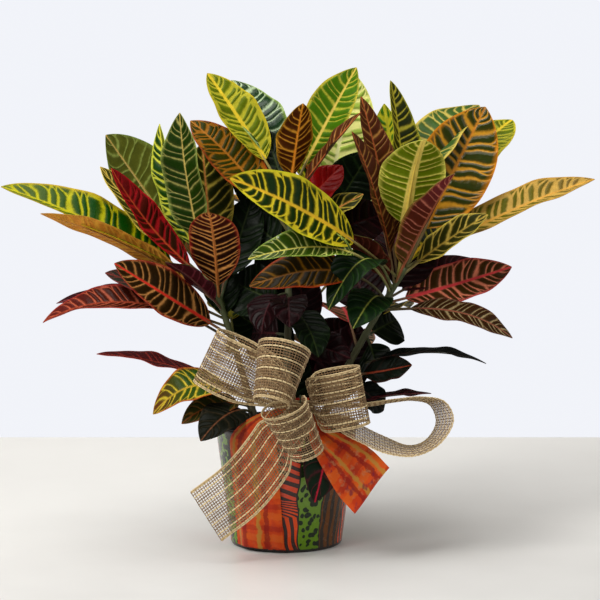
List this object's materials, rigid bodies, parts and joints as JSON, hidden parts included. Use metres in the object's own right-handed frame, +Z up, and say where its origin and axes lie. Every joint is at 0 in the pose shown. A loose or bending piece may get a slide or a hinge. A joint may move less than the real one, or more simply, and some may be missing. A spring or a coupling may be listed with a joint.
{
  "type": "potted croton plant",
  "caption": "Leafy croton plant with yellow, green, orange and red veined leaves, in a printed pot cover with a woven ribbon bow.",
  "frame": {"origin": "centre of the pot cover's underside", "axes": "+Z up, -Y towards the bow and the viewer, +X to the viewer's right"},
  "size_m": [0.6774, 0.4233, 0.5464],
  "materials": {
    "pot_cover": "glossy printed film in orange, green and dark brown panels",
    "nursery_pot": "black, slightly satin",
    "potting_soil": "dark, damp and crumbly",
    "leafy_stem_left": "leathery leaves, satin, green with yellow and red veins",
    "leafy_stem_centre": "leathery leaves, satin, green with yellow veins",
    "leafy_stem_right": "leathery leaves, satin, green, yellow and maroon",
    "leafy_stem_back": "leathery leaves, satin, green with yellow veins",
    "woven_ribbon": "open tan weave with cream edges",
    "plaid_ribbon": "orange and red cloth with crossing stripes",
    "bow_wire": "dark green wrapped florist wire"
  },
  "bodies": {
    "root": {"pot_cover": "pot_cover", "nursery_pot": "nursery_pot", "potting_soil": "potting_soil", "leafy_stem_left": "leafy_stem_left", "leafy_stem_centre": "leafy_stem_centre", "leafy_stem_right": "leafy_stem_right", "leafy_stem_back": "leafy_stem_back", "woven_ribbon": "woven_ribbon", "plaid_ribbon": "plaid_ribbon", "bow_wire": "bow_wire"}
  },
  "joints": []
}
